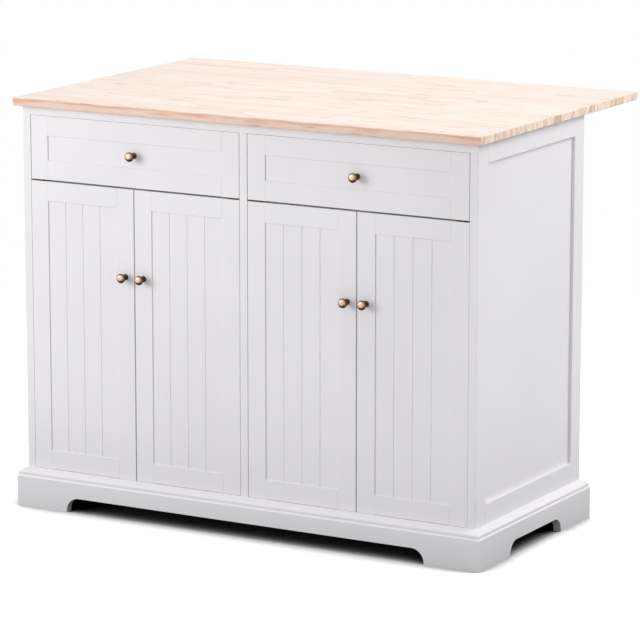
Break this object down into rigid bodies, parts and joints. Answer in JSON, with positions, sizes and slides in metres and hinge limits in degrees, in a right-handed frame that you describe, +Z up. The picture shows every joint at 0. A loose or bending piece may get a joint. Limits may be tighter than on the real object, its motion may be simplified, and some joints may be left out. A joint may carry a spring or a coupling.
{
  "type": "drop leaf kitchen island",
  "caption": "Painted kitchen island cabinet with panelled doors over a moulded plinth, drawers, and a solid wood top with a folding drop leaf.",
  "frame": {"origin": "on the floor, under the centre of the overall box with the leaf raised", "axes": "+X to the right seen from the front, +Y from the doors to the leaf, +Z up"},
  "size_m": [1.152, 0.759, 0.914],
  "materials": {
    "white_paint": "satin painted wood",
    "butcher_block": "clear oiled wood staves",
    "birch_ply": "clear lacquered birch plywood",
    "bare_pine": "sawn pine",
    "antique_brass": "antique brass with darkened recesses",
    "zinc_steel": "zinc plated steel",
    "bracket_white": "white powder coat"
  },
  "bodies": {
    "carcass": {"worktop": "butcher_block", "left_side_stiles": "white_paint", "left_side_rails": "white_paint", "left_side_panel": "white_paint", "right_side_stiles": "white_paint", "right_side_rails": "white_paint", "right_side_panel": "white_paint", "back_outer_stiles": "white_paint", "back_rails": "white_paint", "back_inner_stiles": "white_paint", "back_panels": "white_paint", "center_partition": "white_paint", "bottom_panel": "white_paint", "front_top_rail": "white_paint", "mid_rails": "white_paint", "left_shelf": "white_paint", "right_shelf": "white_paint", "shelf_pins": "zinc_steel", "worktop_brackets": "zinc_steel", "plinth_front": "white_paint", "plinth_back": "white_paint", "plinth_left": "white_paint", "plinth_right": "white_paint", "base_corner_blocks": "bare_pine", "door_pivots": "zinc_steel", "door_stops": "white_paint", "left_drawer_fixed_runners": "zinc_steel", "right_drawer_fixed_runners": "zinc_steel", "leaf_wall_arms": "bracket_white", "leaf_pivot_pins": "zinc_steel"},
    "left_drawer": {"left_drawer_frame": "white_paint", "left_drawer_panel": "white_paint", "left_drawer_knob": "antique_brass", "left_drawer_sides": "birch_ply", "left_drawer_back": "birch_ply", "left_drawer_bottom": "birch_ply", "left_drawer_sliders": "zinc_steel"},
    "right_drawer": {"right_drawer_frame": "white_paint", "right_drawer_panel": "white_paint", "right_drawer_knob": "antique_brass", "right_drawer_sides": "birch_ply", "right_drawer_back": "birch_ply", "right_drawer_bottom": "birch_ply", "right_drawer_sliders": "zinc_steel"},
    "far_left_door": {"far_left_door_frame": "white_paint", "far_left_door_panel": "white_paint", "far_left_door_knob": "antique_brass"},
    "inner_left_door": {"inner_left_door_frame": "white_paint", "inner_left_door_panel": "white_paint", "inner_left_door_knob": "antique_brass"},
    "inner_right_door": {"inner_right_door_frame": "white_paint", "inner_right_door_panel": "white_paint", "inner_right_door_knob": "antique_brass"},
    "far_right_door": {"far_right_door_frame": "white_paint", "far_right_door_panel": "white_paint", "far_right_door_knob": "antique_brass"},
    "leaf": {"drop_leaf": "butcher_block", "leaf_table_arms": "bracket_white"},
    "struts": {"leaf_struts": "bracket_white", "strut_tip_pins": "zinc_steel"}
  },
  "joints": [
    {"name": "left_drawer_slide", "type": "slide", "parent": "carcass", "child": "left_drawer", "axis": [0, -1, 0], "range_m": [0, 0.3]},
    {"name": "right_drawer_slide", "type": "slide", "parent": "carcass", "child": "right_drawer", "axis": [0, -1, 0], "range_m": [0, 0.3]},
    {"name": "far_left_door_swing", "type": "hinge", "parent": "carcass", "child": "far_left_door", "pos_m": [-0.5184, -0.3505, 0.4099], "axis": [0, 0, -1], "range_deg": [0, 100]},
    {"name": "inner_left_door_swing", "type": "hinge", "parent": "carcass", "child": "inner_left_door", "pos_m": [-0.0301, -0.3505, 0.4099], "axis": [0, 0, 1], "range_deg": [0, 85]},
    {"name": "inner_right_door_swing", "type": "hinge", "parent": "carcass", "child": "inner_right_door", "pos_m": [0.0301, -0.3505, 0.4099], "axis": [0, 0, -1], "range_deg": [0, 85]},
    {"name": "far_right_door_swing", "type": "hinge", "parent": "carcass", "child": "far_right_door", "pos_m": [0.5184, -0.3505, 0.4099], "axis": [0, 0, 1], "range_deg": [0, 100]},
    {"name": "leaf_fold", "type": "hinge", "parent": "carcass", "child": "leaf", "pos_m": [0, 0.1605, 0.884], "axis": [-1, 0, 0], "range_deg": [0, 90]},
    {"name": "strut_swing", "type": "hinge", "parent": "carcass", "child": "struts", "pos_m": [0, 0.1605, 0.824], "axis": [-1, 0, 0], "range_deg": [0, 118]}
  ],
  "couplings": [
    {"joint": "strut_swing", "follows": "leaf_fold", "ratio": 1.3054}
  ]
}
